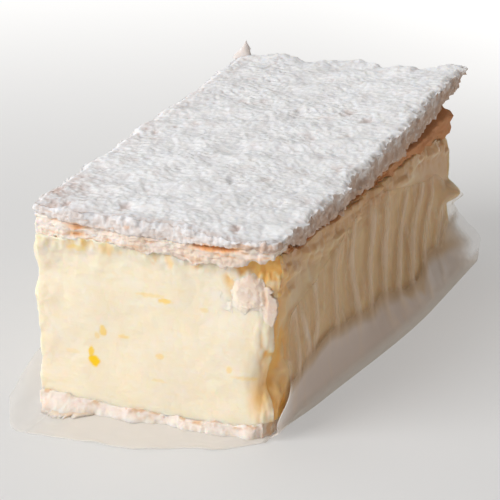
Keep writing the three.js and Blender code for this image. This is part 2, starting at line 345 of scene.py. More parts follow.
class Build:
    """Collects points, faces and named values at the points, and makes one mesh object."""

    def __init__(self):
        self.points, self.faces, self.values, self.count = [], [], {}, 0

    def add_points(self, points, **values):
        """Returns the index of each point. Values that aren't given are 0."""
        index = np.arange(points[..., 0].size).reshape(points.shape[:-1]) + self.count
        self.points.append(points.reshape(-1, 3))
        for name, value in values.items():
            flat = np.broadcast_to(value, index.shape).ravel()
            self.values.setdefault(name, []).append((self.count, flat))
        self.count += index.size
        return index

    def add_faces(self, corners, flip):
        self.faces.append(corners[:, ::-1] if flip else corners)

    def add_grid(self, points, closed=False, flip=False, **values):
        """Quads over a grid of points. Returns the index of each point."""
        index = self.add_points(points, **values)
        ring = np.vstack([index, index[:1]]) if closed else index
        before, after = ring[:-1], ring[1:]
        quads = np.stack([before[:, :-1], after[:, :-1], after[:, 1:], before[:, 1:]], axis=-1)
        self.add_faces(quads.reshape(-1, 4), flip)
        return index

    def bridge(self, loop_a, loop_b, flip=False):
        a, b = np.append(loop_a, loop_a[0]), np.append(loop_b, loop_b[0])
        self.add_faces(np.stack([a[:-1], a[1:], b[1:], b[:-1]], axis=-1), flip)

    def add_slab(self, front, back, front_values, back_values):
        """Two grids back to back, joined round their rims."""
        front_loop = around(self.add_grid(front, **front_values))
        back_loop = around(self.add_grid(back, flip=True, **back_values))
        self.bridge(front_loop, back_loop, flip=True)

    def cap(self, loop, rim, height, flip=False, **values):
        """Closes a loop whose points are the rim, at heights given by a function of x and y."""
        middle = rim.mean(axis=0)
        for share in CAP_SHARES:
            ring = middle + (rim - middle) * share
            ring[:, 2] = height(ring[:, 0], ring[:, 1])
            inner = self.add_points(ring, **values)
            self.bridge(loop, inner, flip)
            loop = inner
        centre = self.add_points(ring.mean(axis=0), **values)
        fan = [loop, np.roll(loop, -1), np.full_like(loop, centre)]
        self.add_faces(np.stack(fan, axis=-1), flip)

    def finish(self, name):
        points = np.concatenate(self.points) * MM
        mesh = bpy.data.meshes.new(name)
        faces = [row for block in self.faces for row in block.tolist()]
        mesh.from_pydata(points.tolist(), [], faces)
        for key, runs in self.values.items():
            data = np.zeros(len(points))
            for first, flat in runs:
                data[first:first + len(flat)] = flat
            layer = mesh.attributes.new(key, "FLOAT", "POINT")
            layer.data.foreach_set("value", data.astype(np.float32))
        mesh.polygons.foreach_set("use_smooth", np.ones(len(mesh.polygons), bool))
        mesh.update()
        piece = add_object(name, mesh)
        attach(piece, "root")
        return piece


# Points along the front, right, back and left of each block, most where the photo looks
CUSTARD_LOOP = (200, 290, 90, 180)
BASE_LOOP = (200, 290, 110, 220)
LEAF_LOOP = (210, 330, 130, 240)


def square_loop(front, right, back, left):
    """Points (u, v) round the unit square, anticlockwise from the front left corner."""
    front, right, back, left = (np.arange(steps) / steps for steps in (front, right, back, left))
    u = np.concatenate([front, np.ones(len(right)), 1 - back, np.zeros(len(left))])
    v = np.concatenate([np.zeros(len(front)), right, np.ones(len(back)), 1 - left])
    return u, v


def outward(share):
    """Which way is out along one direction of the unit square: -1, 0 or 1."""
    return np.where((share == 0) | (share == 1), np.sign(share - 0.5), 0)


# Custard

custard_noise = Noise(5)

# Pleats that the paper pressed into the right side: foot, middle and head of each (along, up)
PLEATS = [
    [(-44, 11.1), (-45.3, 23), (-47.8, 29)],
    [(-37, 12.3), (-40.6, 18), (-43.2, 24.6)],
    [(-33.6, 15), (-35.1, 26.1), (-36.5, 31)],
    [(-22.7, 12), (-23.2, 25.4), (-20.3, 32)],
    [(-11.3, 9.8), (-11.9, 24.5), (-10.3, 32.5)],
    [(-3.5, 9.3), (-2, 18.4), (1.9, 31.3)],
    [(3.8, 6.6), (7.4, 15.1), (10, 30.3)],
    [(11.9, 6.9), (16.9, 15.3), (23.7, 28.2)],
    [(19.5, 6.1), (24.6, 13.8), (33.9, 25.9)],
    [(26.7, 3.5), (31.9, 10.1), (41.4, 22.2)],
    [(36.7, 3.5), (42.3, 7.7), (50.6, 18)],
]
PLEAT_STRENGTHS = [0.5, 0.8, 0.6, 0.7, 0.9, 0.8, 0.8, 1, 0.9, 0.8, 0.6]


def pleats(y, z):
    """Relief of the pleats, and how near their crests are, each 0 to 1."""
    relief = crest = np.zeros_like(y + z)
    wander = 0.45 * side_waves(90, y * 0.5, z * 0.7)
    for line, strength in zip(PLEATS, PLEAT_STRENGTHS):
        along, up = zip(*line)
        past = y - np.interp(z, up, along) + wander
        within = rise(z, up[0] - 5, up[0] + 1) * fall(z, up[2] - 3, up[2] + 3)
        slope = np.where(past < 0, rise(past, -1.8, 0), fall(past, 0, 4.5))
        relief = np.maximum(relief, strength * within * slope)
        crest = np.maximum(crest, strength * within * np.exp(-(past / 1.2) ** 2))
    return relief, crest


# Streaks of egg yolk in the front face: across, up, half width, half height and strength
YOLK = [
    (-13.7, 11.7, 1.3, 1.3, 1),
    (-14.3, 13.6, 0.7, 1.3, 0.85),
    (-11.6, 18.5, 0.9, 1.1, 0.6),
    (-12.8, 17.3, 0.6, 0.8, 0.35),
    (-7, 17.9, 1.3, 0.4, 0.4),
    (2.3, 27, 1.6, 0.6, 0.6),
    (-1.2, 27.8, 3, 0.5, 0.35),
    (1, 14.7, 1, 0.6, 0.4),
    (0.8, 9.4, 1.8, 0.3, 0.25),
    (16.2, 14.2, 0.7, 0.7, 0.4),
    (20, 12.8, 3.2, 0.4, 0.3),
    (-18.5, 13, 1.6, 0.5, 0.2),
    (10.6, 26.2, 0.9, 0.5, 0.25),
    (-16.8, 36, 2.2, 0.7, 0.4),
    (9.8, 37.3, 1.6, 0.7, 0.5),
]


def yolk_mask(x, z, wobble):
    total = np.zeros_like(x)
    for across, up, wide, tall, strength in YOLK:
        reach = np.hypot((x - across) / wide, (z - up) / tall) + wobble
        total = np.maximum(total, strength * fall(reach, 0.7, 1.2))
    return total


# Turns the smears on the right side to run along the pastry above them
SLANT = np.array(Matrix.Rotation(math.radians(-4), 3, "X"))


def custard_relief(points, normal, top_share):
    """How far the custard stands out; how much painted glow its shaded hollows get, how much brown
    painted shade its right side gets and where that side's painted shade is lifted, each 0 to 1.
    Also how far each point is on the front and on the right side."""
    x, y, z = np.moveaxis(points, -1, 0)
    noise = custard_noise
    front = rise(-normal[..., 1], 0.35, 0.8)
    right = rise(normal[..., 0], 0.35, 0.8)
    # Lumps and smears everywhere, and cream that was dragged along the top of the right side
    lumps = noise(points, 7)
    smear = noise(points + 40, (5, 5, 2)) * rise(noise.smooth(points + 2, 8), -0.3, 0.4)
    fine = noise(points, 1.1, 2)
    upper_front = front * rise(z, 27, 35)
    clots = noise(points + 9, (2.6, 2.6, 1.8), 2)
    depth = 0.14 * lumps + 0.12 * smear + 0.04 * fine + 0.13 * upper_front * clots
    upper = rise(z, 26, 32) * right
    drag = noise(points @ SLANT + 11, (2.4, 12, 2.4))
    drag += 0.7 * noise(points + 90, (2.4, 2.6, 9))
    depth += upper * 0.8 * drag
    pressed, crest = pleats(y, z)
    depth += right * (0.6 * pressed - 0.3) * (1 - 0.4 * upper)
    # The torn front right corner and the ragged top edge
    corner = rise(x, 17, 24.5) * at_front(y, 4, 12)
    corner *= 1 - 0.75 * front * fall(x, 21, 25)
    torn = noise(points + 23, (2.6, 2.6, 6.5))
    depth += corner * (0.75 * torn - 0.25)
    ragged_top = rise(top_share, 0.90, 1)
    over_rim = front * lerp(0.75, 0.15, rise(x, -6, 8))
    depth += ragged_top * (0.5 * noise(points + 5, 2.8, 2) + over_rim - 0.25 * (1 - front))
    patchy = noise(points + 71, (2.6, 2.6, 3.4))
    # The hollow under the pastry at the front right, the streak below it, and the bulging left edge
    reach = lerp(0.6, 4.6, rise(x, 10, 23)) + 1.6 * patchy
    hollow = rise(z - 38.4 + reach, 0, 2.4) * rise(x, 9, 14) * front
    streak = hill(x - 16.2 + 0.3 * (z - 33), 2) * hill(z - 33, 5) * front * rise(patchy, -0.5, 0.3)
    depth -= 0.9 * hollow * rise(x, 12, 20) + 0.4 * streak
    left_edge = rise(-x, 21, 25.8) * at_front(y, 1, 4)
    depth += left_edge * 0.4 * noise(points + 61, (5, 5, 4.6))
    bumps = 0.9 * hill(z - 33.8, 4.5) + 0.7 * hill(z - 24.5, 4.5)
    depth += bumps * rise(-x, 20, 25.5) * at_front(y, 3, 14)
    # Painted glow in the front's shaded hollows; brown painted shade on the right side, lifted on
    # its ridges
    ragged = top_share + 0.05 * noise.smooth(points + 44, (2.2, 2.2, 9))
    # Painted glow: gold light in the shade under the pastry's edge, in the hollow, the streak and
    # the torn corner's hollows
    under_leaf = rise(ragged, 0.94, 0.99) * front
    painted_glow = hollow + 0.8 * streak + corner * rise(-torn, 0, 0.7)
    painted_glow += under_leaf * np.clip(0.55 * rise(patchy, 0, 0.5) + 0.5 * hill(x + 17, 3.5), 0, 1)
    painted_glow *= 1 - 0.9 * rise(-x, 20.5, 22.5)
    # More painted glow near the top of the front right corner, and on the right side near the front
    top_corner = rise(z, 28, 33) * at_front(y, 2, 12)
    painted_glow += 0.7 * front * rise(x, 21.5, 25) * top_corner * rise(patchy, -0.9, 0.1)
    painted_glow += 0.75 * right * np.maximum(top_corner, at_front(y, 2, 9))
    ragged = top_share + 0.05 * noise.smooth(points + 52, (3, 4, 3))
    near_top = rise(ragged, 0.86, 0.97)
    # Where the right side's painted shade is lifted: on the pleats' crests and the dragged ridges
    pale = right * (0.35 * crest + 0.4 * upper * rise(drag, 0.2, 1)) * (1 - near_top)
    # Brown painted shade on the right side near the pastry and in the hollows of the dragged cream
    browned = right * np.clip(near_top + upper * (0.4 + 0.4 * rise(-drag, -0.2, 1.1)) - pale, 0, 1)
    # The rough back end of the right side, with more brown painted shade, and a ridge along its top
    # where the painted shade is lifted
    behind = rise(y, 28, 42) * rise(z, 17, 25) * right
    depth += behind * upper * 0.5 * noise(points + 37, (2.6, 2.6, 4))
    ragged = top_share - 0.93 + 0.03 * noise.smooth(points + 12, 3)
    arc = right * hill(ragged, 0.05) * rise(y, 24, 34)
    depth += 0.5 * arc
    browned = np.clip(browned + 0.9 * behind - 0.9 * arc, 0, 1)
    pale = np.maximum(pale * (1 - 0.5 * behind), 0.55 * arc)
    return depth, np.clip(painted_glow, 0, 1), browned, pale, front, right


def make_custard():
    u, v = square_loop(*CUSTARD_LOOP)
    w = np.linspace(0, 1, 112)
    points = custard_point(u[:, None], v[:, None], w[None, :])
    normal = grid_normals(points, closed=True)
    depth, painted_glow, browned, crests, front, right = custard_relief(points, normal, w[None, :])
    points += normal * depth[..., None]
    points[..., 2] += TOUCH_GAP * (rise(w, 0.97, 1) - 1 + rise(w, 0, 0.03))
    x, y, z = np.moveaxis(points, -1, 0)
    meeting = np.maximum(front * fall(x, -4, 8), right * rise(y, 30, 44))
    swell = 0.6 + 0.6 * custard_noise(points + 66, 3)
    points[..., 2] += meeting * np.maximum(swell, 0.1) * rise(w, 0.94, 0.985)
    yolk = yolk_mask(x, z, 0.35 * custard_noise.smooth(points + 70, 1.1)) * front
    pale = 0.5 * rise(custard_noise.smooth(points + 50, (3, 3, 1.3)), 0.3, 0.9)
    near_flake = hill(np.hypot(x - 17, (z - 30) * 0.7), 10)
    pale = np.maximum(pale, near_flake * rise(custard_noise.smooth(points + 33, 2.2), -0.3, 0.5))
    patches = rise(custard_noise.smooth(points + 19, 2.4), 0, 0.6)
    pale = np.maximum(pale, 0.8 * rise(z, 31, 36) * patches)
    # More painted glow low in the notch of the front right corner
    glow = 0.8 * hill(x - 22.5, 3.4) * hill(z - 9, 7) * front
    # The right side is painted as shaded cream, lifted on its crests and near the front corner
    values = dict(
        yolk=yolk, pale=pale * front * (1 - painted_glow), painted_glow=np.maximum(painted_glow, glow), browned=browned,
        shaded=(right - crests) * lerp(0.4, 1, rise(y, FRONT + 1, FRONT + 9)),
    )
    build = Build()
    index = build.add_grid(points, closed=True, **values)
    build.cap(index[:, 0], points[:, 0], custard_underside, flip=True)
    build.cap(index[:, -1], points[:, -1], pastry_underside)
    return build.finish("custard_block")


# Pastry

pastry_noise = Noise(8)


def flaky_relief(place):
    """Relief of a torn rim of puff pastry, with thin leaves and crumbs, and its gaps, 0 to 1."""
    leaves = pastry_noise(place, (5, 5, 0.75), 3, 0.6)
    crumbs = pastry_noise(place + 31, 1.2, 3, 0.75)
    gaps = rise(-leaves - 0.3 * crumbs, 0.35, 0.95)
    return 0.16 * leaves + 0.25 * crumbs - 0.1 * gaps, gaps


def gap_open(x, y):
    """How far the crack between the two leaves of the upper pastry gapes, 0 to 1."""
    place = stack(x, y, 0)
    here_and_there = 0.6 * rise(pastry_noise(place + 5, 6), 0.1, 0.7)
    main = rise(x, 7, 11) * fall(x, 17.5, 21.5)
    at_left = 0.9 * hill(x + 16.5, 4.5)
    in_front = np.maximum(np.maximum(main, at_left), 0.25 * here_and_there)
    behind = np.maximum(here_and_there, rise(x, 19, 24) * rise(y, FRONT + 6, FRONT + 14))
    return lerp(in_front, behind, rise(y, FRONT - 1, FRONT + 3))


def band_level(x, y):
    """Height of the crack as it shows, a little under the solid's in front."""
    lowest = sheet_underside(x, y) + 0.8
    crack = np.maximum(crack_height(x, y), lowest)
    return np.maximum(crack - 0.8 * at_front(y, 0, 6), lowest)


# Height of the crumbs at the base's foot, which lie on the paper
FOOT_LEVEL = 0.15


def make_base():
    u, v = square_loop(*BASE_LOOP)
    to_side = stack(outward(u), outward(v), 0)
    rows = np.append([0, 0.012, 0.04], np.linspace(0.1, 1, 12))
    recess = np.interp(rows, [0, 0.12, 0.5, 0.85, 1], [-0.2, 0, 0, -0.1, -0.4])
    foot = np.where(v == 0, rise(u, 0, 0.03) * fall(u, 0.93, 1), 0)[:, None, None]
    points = np.stack([base_point(u, v, t) + to_side * out for t, out in zip(rows, recess)], axis=1)
    depth, gaps = flaky_relief(points)
    crumbly = pastry_noise(points + 83, (3, 3, 1.1), 4, 0.6)
    depth = 0.35 * depth + 0.2 * crumbly
    points += to_side[:, None] * depth[..., None]
    along_foot = pastry_noise(points[:, :1] + 31, 5, 4, 0.6)[..., None]
    crumbled = 2.6 * hill(points[:, :1, 0:1] + 20, 8)
    spread = (1.3 + 0.8 * along_foot + crumbled * (1 + along_foot)) * ((1 - rows) ** 3)[:, None]
    points += foot * spread * to_side[:, None]
    points[..., 2] = lerp(FOOT_LEVEL, points[..., 2], rise(rows, -0.1, 0.5))
    lumpy = 0.15 * crumbled[..., 0] * np.maximum(crumbly, 0) * rise(rows, 0, 0.1) * (1 - rows)
    points[..., 2] += foot[..., 0] * lumpy
    near_corner = (rise(u, 0.94, 1) * fall(v, 0, 0.03))[:, None]
    points[..., 0] -= 0.9 * near_corner
    points[..., 1] += 0.9 * near_corner
    ragged = 0.4 + 0.6 * rise(-points[..., 0], 4, 24)
    ragged += 0.6 * pastry_noise(points + 47, 4.5, 4, 0.6)
    points[..., 2] += np.maximum(ragged, 0.1) * rise(rows, 0.5, 1)
    flecks = rise(pastry_noise(points + 3, (2.6, 2.6, 1.6)), 0.2, 0.5)
    flecks *= rise(rows, 0.55, 0.9)
    # The base's right end gets darker brown flecks
    right_end = (rise(u, 0.9, 1) * fall(v, 0.1, 0.3))[:, None]
    darkened = right_end * rise(crumbly + 0.7 * right_end, 0.3, 0.9)
    flecks = np.maximum(0.75 * flecks, 0.8 * darkened)
    white = 0.9 * rise(crumbly, -1, 0.3)
    build = Build()
    # Painted shade in the gaps between the crumbs
    index = build.add_grid(points, closed=True, brown=0.2 * gaps, white=white, fleck=flecks)
    build.cap(index[:, 0], points[:, 0], lambda x, y: BASE_BOTTOM, flip=True, brown=0.3, white=0.3)
    build.cap(index[:, -1], points[:, -1], base_top, brown=0.3, white=0.3)
    return build.finish("base_leaves")


# How far in the leaves' edges are at the back right: the sugared one's top and skirt, the lower one
UPPER_INSET = 0.8
UPPER_SKIRT_INSET = 4.6
LOWER_INSET = 8.6


def recessed_outline(u, v, relief, inset, depth, share):
    """Where the rim of the upper pastry is, in by up to a depth where the crack gapes."""
    x, y = sheet_outline(u, v, relief, inset)
    return sheet_outline(u, v, relief - depth * gap_open(x, y) * share, inset)


def make_lower_leaf():
    u, v = square_loop(*LEAF_LOOP)
    rows = np.linspace(0, 1, 24)
    rounded = np.interp(rows, [0, 0.12, 0.3, 0.85, 1], [-1.2, -0.5, -0.2, -0.1, -0.1])
    overhanging = lerp(0.3, 1, rise(u, 0.3, 0.7))
    points = []
    for relief, t in zip(rounded, rows):
        x, y = recessed_outline(u, v, relief * overhanging, LOWER_INSET, 1.5, rise(t, 0.78, 0.98))
        points.append(stack(x, y, lerp(sheet_underside(x, y), band_level(x, y), t)))
    points = np.stack(points, axis=1)
    normal = grid_normals(points, closed=True)
    x, y, z = np.moveaxis(points, -1, 0)
    swollen = rise(x, 8, 22) * rise(y, 6, 40) * fall(rows, 0.62, 0.78)
    under_fringe = rise(x, 20, 24) * rise(y, FRONT + 3, FRONT + 9)
    flaky, gaps = flaky_relief(points)
    bulge = swollen * np.sin(math.pi * rows)
    folds = pastry_noise(points + 40, (5, 5, 3))
    depth = bulge + lerp(0.85, 0.9, swollen) * flaky + lerp(0.3, 0.6, swollen) * folds
    left_hole = hill(x + 17, 4) * hill(z - 38.9, 1.3) * at_front(y, 0, 4)
    depth = depth - 0.9 * left_hole - 1.8 * under_fringe * (1 - swollen)
    points = points + normal * np.array([1, 1, 0.4]) * depth[..., None]
    hem = np.minimum(pastry_noise(points + 21, (4, 4, 2.5), 4, 0.6) - 0.2, 0.1)
    points[..., 2] += 1.1 * hem * fall(rows, 0.05, 0.45)
    crack = gap_open(x, y) * rise(rows + 0.2 * folds, 0.66, 0.92)
    wander = 0.1 * pastry_noise.smooth(points[:, 0], 9)[:, None]
    line = fall(np.abs(rows - 0.30 - wander), 0.02, 0.09)
    line *= rise(pastry_noise.smooth(stack(x, y, 0) + 77, 5), -0.1, 0.3)
    curled = rise(rows, 0.74, 0.84) * rise(y, 44, 52) * rise(x, 18, 22)
    # Painted shade and glow in orange-brown: in the gaps, the crack, a thin crack line, the hole at
    # the left and under the fringe
    brown = np.clip(0.6 * gaps + crack + 0.5 * line + left_hole + under_fringe - curled, 0, 1)
    dusted = rise(pastry_noise(points + 60, (4, 4, 1.5)), -0.5, 0.4)
    white = np.clip(0.6 * dusted + 0.6 * rise(-x, 0, 18), 0, 1) * (1 - brown) * (1 - under_fringe)
    white = np.maximum(white, 0.5 * curled)
    # Deeper caramel in the folds' hollows, and caramel under the fringe, are painted shade
    darkened = rise(-folds, -0.5, 0.5)
    caramel = np.maximum(swollen * lerp(0.65, 1, darkened), 0.9 * under_fringe * (1 - curled))
    build = Build()
    index = build.add_grid(points, closed=True, brown=brown, white=white, caramel=caramel)
    build.cap(index[:, 0], points[:, 0], sheet_underside, flip=True, brown=0.6, caramel=0.6)
    build.cap(index[:, -1], points[:, -1], band_level, brown=0.8, caramel=0.6)
    return build.finish("lower_leaf")


# Sugar

sugar_noise = Noise(21)
# The sugar's streaks run back along the slice and to the left
STREAK = np.array([-0.37, 0.93, 0.0])
STREAK_ACROSS = np.array([0.90, 0.44, 0.0])
# Tips the flat top out of the noise's own grid
TIP = np.array(Matrix.Rotation(math.radians(40), 3, (1.0, 0.7, 0.4)))

# Places where the sugar has sunk or come away: across, along, reach, depth and bareness
SUGAR_PITS = [
    (5.8, -26.7, 2.4, 0.5, 0),
    (18.5, -36.4, 2.2, 0.5, 0.1),
    (2.3, 20.5, 2.6, 0.5, 0.1),
    (-26, 26.7, 3, 0.4, 0.2),
    (12.5, 24.2, 2.2, 0.3, 0.5),
    (18, 19.8, 2.2, 0.3, 0.5),
    (16.6, -53, 1.5, 0.3, 0.8),
    (11.5, -24, 2, 0.3, 0.3),
    (-19.6, -54, 1.6, 0.3, 0.8),
    (-25.5, -47, 2, 0.4, 0.8),
    (-8.5, -50.6, 1.8, 0.3, 0.5),
]


def sugar_relief(x, y):
    """Crumbly icing sugar: its height, how shaded its hollows are and how bare, 0 to 1."""
    place = stack(x, y, 0)
    turned = stack(place @ STREAK_ACROSS, 0.7 * (place @ STREAK), 0) @ TIP
    broad = sugar_noise(turned + 55, 3, 3, 0.6)
    grain = sugar_noise(place @ TIP, 1.3, 3, 0.75)
    pits = sugar_noise.smooth(turned + 15, 1.3) + 0.5 * sugar_noise.smooth(turned + 80, 0.7)
    pits = rise(pits, 0.3, 1) * rise(sugar_noise.smooth(turned + 31, 8), -0.4, 0.4)
    pits *= lerp(0.6, 1, rise(-x, -5, 20))
    sunk, bare = 0, 0
    for across, along, reach, depth, bareness in SUGAR_PITS:
        near = hill(np.hypot(x - across, 0.6 * (y - along)) + 0.5 * grain, reach)
        sunk, bare = np.maximum(sunk, depth * near), np.maximum(bare, bareness * near)
    height = 0.14 * broad + 0.15 * grain - 0.3 * pits - sunk - 0.1
    shade = 0.5 * rise(-broad, 0, 0.8) + 0.3 * rise(-grain, 0.1, 1)
    return height, np.clip(shade + 0.8 * pits + sunk, 0, 1), bare


def add_upright_flake(build):
    """The thin flake that stands up from the back left corner."""
    s = np.linspace(-1, 1, 12)[:, None]
    t = np.linspace(0, 1, 12)
    narrow = lerp(1, 0.35, rise(t, 0.2, 1))
    x = -26.3 + 2.1 * s * narrow + 1.3 * t
    y = 56.3 + 0.5 * s ** 2 + 0.6 * t ** 2
    uneven = 0.25 * pastry_noise.smooth(stack(x, y, 4 * t), 1.5)
    z = 43.6 + 4.6 * t * (1 - 0.35 * np.abs(s + 0.3)) + uneven
    face = stack(x, y, z)
    half = np.array([0, 0.28, 0])
    values = dict(bare=0.25, side=0.3)
    build.add_slab(face - half, face + half, values, values)


def sugar_crust(uu, vv):
    """The top of the sugared leaf: its points and its named values."""
    x, y = sheet_outline(uu, vv, 0, UPPER_INSET)
    from_side = np.minimum(uu, 1 - uu)
    rim = np.minimum(from_side * SLICE_WIDTH, np.minimum(vv, 1 - vv) * SLICE_LENGTH)
    ragged = lerp(0.5, 0.9, uu) * sugar_noise(stack(x, y, 0), 2.4, 4, 0.65)
    at_rim = fall(rim, 0, 1.6)
    x += ragged * at_rim * np.sign(uu - 0.5) * (from_side < 0.05)
    y += ragged * at_rim * (1 * (vv > 0.97) - 0.75 * (vv < 0.03))
    relief, shade, bare = sugar_relief(x, y)
    shoulder = fall((1 - uu) * SLICE_WIDTH, 0, 1.5) ** 2 * rise(y, FRONT, FRONT + 10)
    place = stack(x, y, 0)
    tufts = sugar_noise(place + 70, 1.7, 4, 0.65)
    in_front = at_front(y, 0, 3)
    rounding = lerp(0.7, 0.25, np.maximum(in_front, uu ** 4))
    z = sugar_top(x, y) + relief - rounding * fall(rim, 0, 1.8) ** 2
    z = z - shoulder * (0.4 - 0.6 * tufts) + 0.3 * in_front * fall(rim, 0, 2) * tufts
    z += 0.7 * rise(vv, 0.95, 1) * sugar_noise(stack(x, 30, 0), 5)
    thin = rise(sugar_noise(place + 40, 7), 0.35, 0.9)
    at_corner = fall(np.hypot(x + 25, (y + 52) * 0.7), 3, 16)
    at_left = fall(x, -26, -19)
    spread = np.maximum(np.clip(0.45 * at_corner + 0.3 * at_left, 0, 1), 0.35 * thin)
    low_spots = rise(-relief, -0.05, 0.3)
    shade = np.maximum(shade, 0.8 * at_corner * low_spots)
    bare = np.maximum(bare, spread * low_spots)
    bare = np.maximum(bare, 0.6 * rise(shade, 0.5, 0.9) * rise(-x, 8, 24))
    shade = np.maximum(shade, 0.7 * shoulder * rise(-tufts, -0.2, 0.7))
    at_front_rim = in_front * fall(rim, 0.4, 3)
    shade = np.maximum(shade, at_front_rim * rise(-tufts, -1.2, -0.2))
    # Beige at the shoulder and front rim, more of it in the tufts' hollows as painted shade
    beige = (0.35 * shoulder + 0.45 * at_front_rim) * rise(-tufts, -0.3, 0.5)
    return stack(x, y, z), dict(bare=bare, shade=shade, side=beige)


def sugar_side(loop_u, loop_v, rim):
    """The side of the sugared leaf, from its rim to the crack: its points and its named values."""
    right = rise(rim[:, 0], 20, RIGHT) * rise(rim[:, 1], FRONT - 2, FRONT + 9)
    rows = np.linspace(0, 1, 16)[1:]
    profile = np.interp(rows, [0, 0.35, 0.7, 0.88, 1], [0, 0.2, 0.2, 0.1, 0])
    side = []
    for out, t in zip(profile, rows):
        out = lerp(out, -0.3 * t, right)
        inset = lerp(UPPER_INSET, UPPER_SKIRT_INSET, t ** 1.5)
        x, y = recessed_outline(loop_u, loop_v, out, inset, 2, rise(t, 0.86, 1))
        side.append(stack(x, y, lerp(sugar_top(x, y), band_level(x, y) - 0.1, t)))
    side = np.stack(side, axis=1)
    side += (rim - side[:, 0])[:, None, :] * fall(rows, 0, 0.6)[:, None]
    normal = grid_normals(np.concatenate([rim[:, None], side], axis=1), closed=True)[:, 1:]
    right = right[:, None]
    upright = sugar_noise(side * (1, 1, 0.6) + 70, 1.7, 4, 0.65)
    flaky, gaps = flaky_relief(side)
    x, y = side[..., 0], side[..., 1]
    at_corner = rise(x, 19, 25) * at_front(y, 2, 10)
    crumbs = sugar_noise(side + 25, 1.2, 4, 0.75)
    in_layers, in_tufts = 0.7 * flaky + 0.24 * crumbs, -0.7 * upright - 0.2 * crumbs
    depth = lerp(in_layers, in_tufts, np.maximum(right, at_corner))
    depth += at_corner * (0.5 + 0.7 * sugar_noise(side + 5, 2.2, 4))
    side -= normal * (depth * rise(rows / lerp(0.2, 0.3, right), 0, 1))[..., None]
    teeth = sugar_noise(side, (3.6, 3.6, 2.5), 5, 0.7)
    side[..., 2] += right * (teeth - 0.4) * rise(rows, 0.4, 0.9)
    x, y = side[..., 0], side[..., 1]
    clumps = sugar_noise(side + 9, 1.6)
    # Beige, more of it lower down and more in the tufts' hollows as painted shade
    beige = rise(rows + 0.4 * clumps - 0.4 * upright, lerp(-0.1, -0.4, right), 0.7)
    beige *= np.maximum(lerp(0.45, 1, right), rise(x, 12, 20) * (1 - right))
    shade = np.where(y < FRONT + 3, 1 - rows, right * rise(-upright, -0.2, 0.7))
    crack = gap_open(x, y) * rise(rows + 0.1 * clumps, 0.76, 0.94)
    # Painted shade and glow in the gaps and the crack
    in_layers = 0.6 * gaps * rise(rows, 0.3, 0.6) * (1 - right)
    brown = np.clip(in_layers + crack * (1 - 0.8 * right), 0, 1)
    return side, dict(shade=shade, side=np.maximum(beige, crack), brown=brown)


def make_sugared_leaf():
    uu, vv = np.meshgrid(np.linspace(0, 1, 182), np.linspace(0, 1, 394), indexing="ij")
    crust, crust_values = sugar_crust(uu, vv)
    side, side_values = sugar_side(around(uu), around(vv), around(crust))
    build = Build()
    loop = around(build.add_grid(crust, **crust_values))
    for row in build.add_points(side, **side_values).T:
        build.bridge(loop, row, flip=True)
        loop = row
    hidden = dict(shade=0.5, side=1, brown=0.7)
    build.cap(loop, side[:, -1], lambda x, y: band_level(x, y) + 0.3, flip=True, **hidden)
    add_upright_flake(build)
    return build.finish("sugared_leaf")


# Paper

paper_noise = Noise(34)
# Thickness of the sheet as it shows
PAPER_SHEET = 0.12

# Height on the right side where the dry paper ends and the soaked paper begins: along, up
WET_EDGE = [
    (-56, 9), (-45, 8.6), (-37, 9), (-26, 11), (-14, 10),
    (-2, 7.6), (6, 8.4), (24, 4.2), (33, 7.6), (46, 6),
]


